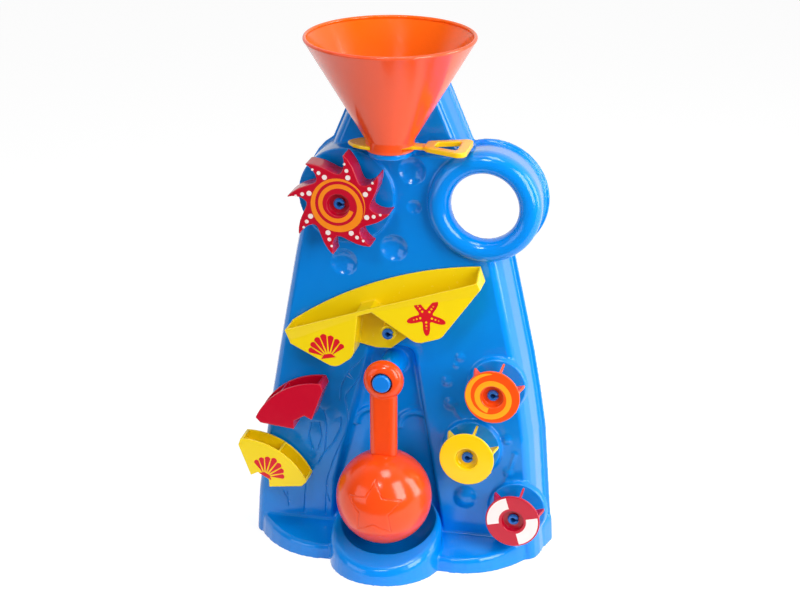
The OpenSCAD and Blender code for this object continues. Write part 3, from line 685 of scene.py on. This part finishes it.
class SANDWHEEL_OT_sun(Builder):
    """Softens the sun wheel and prints its spiral disc and the dots on its rays"""

    bl_idname = "sandwheel.sun"
    bl_label = "Sun wheel"

    # Dots on a ray: how far out they lie and their radius, in millimetres, and how far they lead its tip.
    # Then the angle of the first tip, in degrees, and the facets of a dot
    DOTS = ((27.4, 2.3, -13.5), (33, 1.75, -8), (38.4, 1.15, -3))
    FIRST_TIP, DOT_FACETS = 39, 24
    # Printed spiral: where it starts, in degrees, its turns, the width of the bare line between them, in
    # millimetres, and the part of a turn over which that line opens to its width
    SPIRAL_START, SPIRAL_TURNS, BARE_LINE, OPENS = -38, 2.05, 2.8, 1 / 6

    def build(self):
        s, c = sizes(), colours()
        piece = softened_small("sun_wheel")
        dressed(piece, "sun_wheel", "sun", moulded("Sun_crimson", c.sun, roughness=0.2))
        middle = axis_of("sun_pin")
        disc, well = s.disc_print_r, s.well_r
        pitch = (disc - well) / self.SPIRAL_TURNS

        def inner(share):
            return max(well, disc - pitch * self.SPIRAL_TURNS * share)

        def outer(share):
            before = self.SPIRAL_TURNS * share - 1
            gap = self.BARE_LINE * MM * min(1, before / self.OPENS)
            return disc if before <= 0 else min(disc, disc - pitch * before - gap)

        band = ribbon(math.radians(self.SPIRAL_START), self.SPIRAL_TURNS, outer, inner)
        print_on("sun_print", [band], "sun_wheel", middle, 0, "sun", inked("Sun_ink", c.sun_print))
        dots = []
        for k in range(s.rays):
            for reach, radius, lead in self.DOTS:
                a = math.radians(self.FIRST_TIP + lead) + TURN * k / s.rays
                place = (reach * MM * math.cos(a), reach * MM * math.sin(a))
                dots.append([circle(radius * MM, self.DOT_FACETS, place)])
        print_on("sun_dots", dots, "sun_wheel", middle, 0, "sun", inked("Dot_ink", c.dot_print))


class SANDWHEEL_OT_seesaw(Builder):
    """Softens the seesaw, flares its front rim, and prints a shell and a starfish on its pockets"""

    bl_idname = "sandwheel.seesaw"
    bl_label = "Seesaw"

    # Front rim: its height over the pin, the flared band's height in the middle and at the ends, how far it
    # flares out, and how deep the flare reaches from the front, in millimetres
    RIM_UP, BAND_MIDDLE, BAND_END, FLARE, FLARE_DEEP = 28, 4, 12, 2.6, 3.2
    # Prints: place from the pin and size, in millimetres, and turn, in degrees
    SHELL, STARFISH = ((-59, -8), 23.5, -6), ((41, 9), 18.5, 20)

    def build(self):
        s, c = sizes(), colours()
        piece = softened_small("seesaw")
        self.flare_rim(piece)
        finish = moulded("Seesaw_yellow", c.seesaw, roughness=0.22)
        dressed(piece, "seesaw", "seesaw", finish)
        shapes = [*scallop(*self.SHELL), *starfish(*self.STARFISH)]
        print_on("seesaw_print", shapes, "seesaw", axis_of("seesaw_pin"), s.seesaw_tilt, "seesaw",
                 inked("Motif_ink", c.motif_print))

    def flare_rim(self, piece):
        """Draws the front rim forward, more deeply towards its two ends"""
        tilt = sizes().seesaw_tilt
        pivot = axis_of("seesaw_pin")
        low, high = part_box("seesaw")
        front, half = low.y, (high.x - low.x) / 2 / math.cos(tilt)
        turn = Matrix.Rotation(-tilt, 2)
        for v in piece.data.vertices:
            across, up = turn @ Vector((v.co.x - pivot[0], v.co.z - pivot[1]))
            out = min(1, abs(across) / half)
            band = (self.BAND_MIDDLE + (self.BAND_END - self.BAND_MIDDLE) * out) * MM
            share = (up - (self.RIM_UP * MM - band)) / band
            if share > 0 and v.co.y < front + self.FLARE_DEEP * MM:
                v.co.y -= self.FLARE * MM * min(1, share) * band / (self.BAND_END * MM)


class SANDWHEEL_OT_trays(Builder):
    """Softens the two tipping trays and prints a shell on the yellow one"""

    bl_idname = "sandwheel.trays"
    bl_label = "Tipping trays"

    # Print: place from the pin and size, in millimetres, and turn, in degrees
    SHELL = ((2, -9), 22, 4)

    def build(self):
        s, c = sizes(), colours()
        crimson = moulded("Tray_crimson", c.red_tray, roughness=0.16)
        dressed(softened_small("red_tipper"), "red_tipper", "red_tray", crimson)
        yellow = moulded("Tray_yellow", c.seesaw, roughness=0.22)
        dressed(softened_small("yellow_tipper"), "yellow_tipper", "yellow_tray", yellow)
        print_on("tray_print", scallop(*self.SHELL), "yellow_tipper", axis_of("yellow_tipper_pin"),
                 s.yellow_tilt, "yellow_tray", inked("Tray_ink", c.motif_print))


class SANDWHEEL_OT_wheels(Builder):
    """Softens the three paddle wheels and prints the spiral and the white sectors"""

    bl_idname = "sandwheel.wheels"
    bl_label = "Paddle wheels"

    # How far the paddles' tips stand out at the back, and how far they stay in at the front, in millimetres
    PADDLE_OUT, PADDLE_IN = 4, 1.2
    # Printed spiral: where it starts, in degrees, and its turns. Then its first radius, how far out it moves
    # and half its width, in millimetres, and the part of the way over which its end is rounded
    SPIRAL_START, SPIRAL_TURNS = 255, -1.46
    SPIRAL_R, SPIRAL_OUT, SPIRAL_HALF, END_ROUND = 13.4, 8.8, 2.4, 1 / 6
    # Parts of the way at which the spiral leaves its first circle, and over which it moves out
    LEAVES, LEAVING = 0.3, 0.62
    # White sectors: their middles and half their angle, in degrees, and their two radii, in millimetres
    SECTORS, SECTOR_HALF, SECTOR_IN, SECTOR_OUT = (150, -30), 44, 12.6, 23.4

    def build(self):
        c = colours()
        for node, body, slot, name, colour in (
            ("spiral_wheel", "spiral_disc", "spiral_orange", "Wheel_orange", c.spiral),
            ("yellow_wheel", "yellow_disc", "wheel_yellow", "Wheel_yellow", c.wheel),
            ("ring_wheel", "ring_disc", "ring_red", "Wheel_crimson", c.ring),
        ):
            piece = softened_small(node)
            self.slant_paddles(piece, node)
            dressed(piece, node, body, moulded(name, colour, roughness=0.16))
        print_on("spiral_print", [self.spiral()], "spiral_wheel", axis_of("spiral_pin"), 0, "spiral_disc",
                 inked("Spiral_ink", c.spiral_print))
        half, inner, outer = math.radians(self.SECTOR_HALF), self.SECTOR_IN * MM, self.SECTOR_OUT * MM
        sectors = [sector(math.radians(a), half, inner, outer) for a in self.SECTORS]
        print_on("ring_print", sectors, "ring_wheel", axis_of("ring_wheel_pin"), 0, "ring_disc",
                 inked("Sector_ink", c.dot_print))

    def spiral(self):
        """Outline of the spiral: a circle that moves out to a wider one and ends round"""

        def middle(share):
            step = min(1, max(0, (share - self.LEAVES) / self.LEAVING))
            return (self.SPIRAL_R + self.SPIRAL_OUT * step * step * (3 - 2 * step)) * MM

        def half(share):
            return self.SPIRAL_HALF * MM * min(1, (1 - share) / self.END_ROUND) ** 0.5

        return ribbon(math.radians(self.SPIRAL_START), self.SPIRAL_TURNS,
                      lambda t: middle(t) + half(t), lambda t: middle(t) - half(t))

    def slant_paddles(self, piece, node):
        """Draws the paddles' tips in behind the front disc, so that they stand out only further back"""
        disc = sizes().disc_r
        across, up = axis_of(node)
        low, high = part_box(node)
        for v in piece.data.vertices:
            x, z = v.co.x - across, v.co.z - up
            reach = math.hypot(x, z)
            back = (v.co.y - low.y) / (high.y - low.y)
            limit = disc + max(0, self.PADDLE_OUT * back - self.PADDLE_IN) * MM
            if reach > limit:
                v.co.x, v.co.z = across + x * limit / reach, up + z * limit / reach


class SANDWHEEL_OT_pendulum(Builder):
    """Softens the arm, and makes the ball with its engraved star"""

    bl_idname = "sandwheel.pendulum"
    bl_label = "Pendulum"

    # Star on the ball: height of its middle and its two radii, as angles, its tips and the points on an edge
    STAR_UP, STAR_OUT, STAR_IN, STAR_TIPS, EDGE_POINTS = 7, 37, 18.5, 5, 10
    # Depth of its groove as a share of the usual one, and how finely the ball is divided
    STAR_DEPTH, FINE, QUICK = 0.8, 6, 4

    def build(self):
        finish = moulded("Pendulum_orange", colours().pendulum, roughness=0.16)
        arm = softened_small("pendulum_arm", 4)
        dressed(arm, "pendulum_arm", "pendulum", finish)
        dressed(self.ball(), "pendulum_ball", "pendulum", finish)

    def ball(self):
        """The ball with the star carved into its front"""
        s = sizes()
        low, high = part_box("pendulum_ball")
        middle = (low + high) / 2
        bm = bmesh.new()
        fineness = self.FINE
        bmesh.ops.create_icosphere(bm, subdivisions=fineness, radius=s.ball_r)
        bmesh.ops.translate(bm, verts=bm.verts, vec=middle)
        mesh = bpy.data.meshes.new("ball_moulded")
        bm.to_mesh(mesh)
        bm.free()

        def towards(across, up):
            return Vector((math.sin(across) * math.cos(up), -math.cos(across) * math.cos(up), math.sin(up)))

        line = [middle + s.ball_r * towards(*point) for point in self.star()]
        return carve(placed("ball_moulded", mesh), [line], s.groove_half, s.groove_depth * self.STAR_DEPTH)

    def star(self):
        """Points round the star, across and up, as angles from the ball's front"""
        corners = []
        for k in range(2 * self.STAR_TIPS + 1):
            reach = math.radians(self.STAR_IN if k % 2 else self.STAR_OUT)
            a = math.radians(90 - 180 / self.STAR_TIPS * k)
            corners.append((reach * math.cos(a), math.radians(self.STAR_UP) + reach * math.sin(a)))
        points = []
        for (a, b), (d, e) in zip(corners, corners[1:]):
            for i in range(self.EDGE_POINTS):
                points.append((a + (d - a) * i / self.EDGE_POINTS, b + (e - b) * i / self.EDGE_POINTS))
        return [*points, corners[0]]


class SANDWHEEL_OT_pins(Builder):
    """Softens the snap pins and the pendulum's peg"""

    bl_idname = "sandwheel.pins"
    bl_label = "Pins"

    def build(self):
        s, c = sizes(), colours()
        blue = moulded("Pin_blue", c.pin, roughness=0.18)
        for node in ("sun_pin", "seesaw_pin", "red_tipper_pin", "yellow_tipper_pin", "spiral_pin",
                     "yellow_wheel_pin", "ring_wheel_pin"):
            dressed(softened(node, s.pin_voxel, 2, PIN_SHARE), node, "frame", blue)
        peg = softened("pendulum_peg", s.pin_voxel, 3, PIN_SHARE)
        dressed(peg, "pendulum_peg", "frame", moulded("Peg_blue", c.peg, roughness=0.2))


class SANDWHEEL_OT_stage(Builder):
    """Sets the floor, the lamps, the world and the camera"""

    bl_idname = "sandwheel.stage"
    bl_label = "Studio"

    # Floor: half its width, and how far in front of the panel it ends, in metres, and its strength as white
    FLOOR_HALF, FLOOR_FRONT, FLOOR_WHITE = 12, 0.25, 1.24
    # Between these shares of a direction's Y, the room in front gives way to the white backdrop in gloss
    ROOM_ENDS, BACKDROP_STARTS = -0.25, 0.25
    # Place, width and height of each lamp, and the place that all of them aim at, in metres
    LAMPS = {
        "Key": ((0.75, -0.52, 0.6), 0.4, 0.8),
        "Rim": ((1.3, 0.25, 0.6), 0.5, 1.1),
        "Top": ((0.2, -0.35, 1.75), 0.5, 0.5),
        "Fill": ((-1.1, -1.1, 0.5), 0.9, 0.9),
        "Glint": ((-0.1, -1.15, 1.35), 0.3, 0.22),
    }
    AIM = (0, 0, 0.22)
    # Width of the sensor that the lens is given for, in millimetres
    SENSOR = 36

    def build(self):
        self.floor()
        self.world()
        self.lamps()
        self.camera()
        bpy.context.scene.view_settings.view_transform = "Standard"

    def seen_or_mirrored(self, nodes, links):
        """1 for rays from the camera, in gloss and through glass, else 0, and the node that tells them"""
        path = nodes.new("ShaderNodeLightPath")
        value = path.outputs["Is Camera Ray"]
        for socket in ("Is Glossy Ray", "Is Transmission Ray"):
            node = nodes.new("ShaderNodeMath")
            node.operation = "MAXIMUM"
            links.new(value, node.inputs[0])
            links.new(path.outputs[socket], node.inputs[1])
            value = node.outputs["Value"]
        return value, path

    def floor(self):
        """A white floor that keeps the shadow of the toy"""
        half, front = self.FLOOR_HALF, -self.FLOOR_FRONT
        corners = [(-half, front, 0), (half, front, 0), (half, half, 0), (-half, half, 0)]
        piece = new_piece("Floor", corners, [(0, 1, 2, 3)])
        material = bpy.data.materials.new("Floor_white")
        material.use_nodes = True
        nodes, links = material.node_tree.nodes, material.node_tree.links
        nodes.clear()
        diffuse = nodes.new("ShaderNodeBsdfDiffuse")
        diffuse.inputs["Color"].default_value = (*colours().backdrop, 1)
        glow = nodes.new("ShaderNodeEmission")
        glow.inputs["Strength"].default_value = self.FLOOR_WHITE
        mix = nodes.new("ShaderNodeMixShader")
        share = nodes.new("ShaderNodeMath")
        share.operation = "MULTIPLY"
        share.inputs[1].default_value = studio().floor_glow
        links.new(self.seen_or_mirrored(nodes, links)[0], share.inputs[0])
        links.new(share.outputs["Value"], mix.inputs["Fac"])
        links.new(diffuse.outputs["BSDF"], mix.inputs[1])
        links.new(glow.outputs["Emission"], mix.inputs[2])
        output = nodes.new("ShaderNodeOutputMaterial")
        links.new(mix.outputs["Shader"], output.inputs["Surface"])
        piece.data.materials.append(material)

    def world(self):
        """Even light from all round, seen as plain white and mirrored as a room with a white backdrop"""
        s = studio()
        world = bpy.data.worlds.new("Studio")
        bpy.context.scene.world = world
        world.use_nodes = True
        nodes, links = world.node_tree.nodes, world.node_tree.links
        nodes.clear()
        seen, path = self.seen_or_mirrored(nodes, links)
        place = nodes.new("ShaderNodeTexCoord")
        parts = nodes.new("ShaderNodeSeparateXYZ")
        links.new(place.outputs["Generated"], parts.inputs["Vector"])
        behind = from_to(nodes, links, parts.outputs["Y"], self.ROOM_ENDS, self.BACKDROP_STARTS, s.room, 1)
        behind.interpolation_type = "SMOOTHSTEP"
        plain = nodes.new("ShaderNodeMix")
        links.new(path.outputs["Is Camera Ray"], plain.inputs["Factor"])
        links.new(behind.outputs["Result"], plain.inputs["A"])
        plain.inputs["B"].default_value = 1
        level = nodes.new("ShaderNodeMix")
        links.new(seen, level.inputs["Factor"])
        level.inputs["A"].default_value = s.ambient
        links.new(plain.outputs["Result"], level.inputs["B"])
        light = nodes.new("ShaderNodeBackground")
        light.inputs["Color"].default_value = (1, 1, 1, 1)
        links.new(level.outputs["Result"], light.inputs["Strength"])
        output = nodes.new("ShaderNodeOutputWorld")
        links.new(light.outputs["Background"], output.inputs["Surface"])

    def lamps(self):
        """Soft rectangular lamps round the toy"""
        for name, (place, width, height) in self.LAMPS.items():
            lamp = bpy.data.lights.new(name, "AREA")
            lamp.shape = "RECTANGLE"
            lamp.size, lamp.size_y = width, height
            lamp.energy = getattr(studio(), name.lower() + "_power")
            holder = placed(name, lamp)
            holder.location = place
            direction = Vector(self.AIM) - Vector(place)
            holder.rotation_euler = direction.to_track_quat("-Z", "Y").to_euler()

    def camera(self):
        """The camera in front of the toy, above it and a little to the right"""
        s = studio()
        data = bpy.data.cameras.new("Camera")
        data.lens, data.sensor_width = s.lens, self.SENSOR
        holder = placed("Camera", data)
        holder.location = (s.camera_x, s.camera_y, s.camera_z)
        holder.rotation_euler = (math.pi / 2 - s.camera_down, 0, s.camera_turn)
        bpy.context.scene.camera = holder


OPERATORS = (
    SANDWHEEL_OT_panel, SANDWHEEL_OT_funnel, SANDWHEEL_OT_spade, SANDWHEEL_OT_sun, SANDWHEEL_OT_seesaw,
    SANDWHEEL_OT_trays, SANDWHEEL_OT_wheels, SANDWHEEL_OT_pendulum, SANDWHEEL_OT_pins, SANDWHEEL_OT_stage,
)


class SANDWHEEL_PT_sidebar(Panel):
    """Lists the pieces of the toy and what can be changed on them"""

    bl_label = "Sand wheel"
    bl_idname = "SANDWHEEL_PT_sidebar"
    bl_space_type = "VIEW_3D"
    bl_region_type = "UI"
    bl_category = "Sand wheel"

    def draw(self, context):
        for group in (context.scene.sand_wheel_colours, context.scene.sand_wheel_sizes,
                      context.scene.sand_wheel_studio):
            column = self.layout.column(align=True)
            for name in group.bl_rna.properties.keys():
                if name not in ("rna_type", "name"):
                    column.prop(group, name)
        for operator in OPERATORS:
            self.layout.operator(operator.bl_idname)


GROUPS = (
    ("sand_wheel_colours", SandWheelColours),
    ("sand_wheel_sizes", SandWheelSizes),
    ("sand_wheel_studio", SandWheelStudio),
)


def register():
    for name, group in GROUPS:
        bpy.utils.register_class(group)
        setattr(bpy.types.Scene, name, PointerProperty(type=group))
    for cls in (*OPERATORS, SANDWHEEL_PT_sidebar):
        bpy.utils.register_class(cls)


def unregister():
    for cls in (SANDWHEEL_PT_sidebar, *reversed(OPERATORS)):
        bpy.utils.unregister_class(cls)
    for name, group in reversed(GROUPS):
        delattr(bpy.types.Scene, name)
        bpy.utils.unregister_class(group)


def main():
    """Builds everything in order"""
    register()
    for operator in OPERATORS:
        family, name = operator.bl_idname.split(".")
        if getattr(getattr(bpy.ops, family), name)() != {"FINISHED"}:
            raise RuntimeError(f"{operator.bl_label} wasn't finished")


if __name__ == "__main__":
    main()
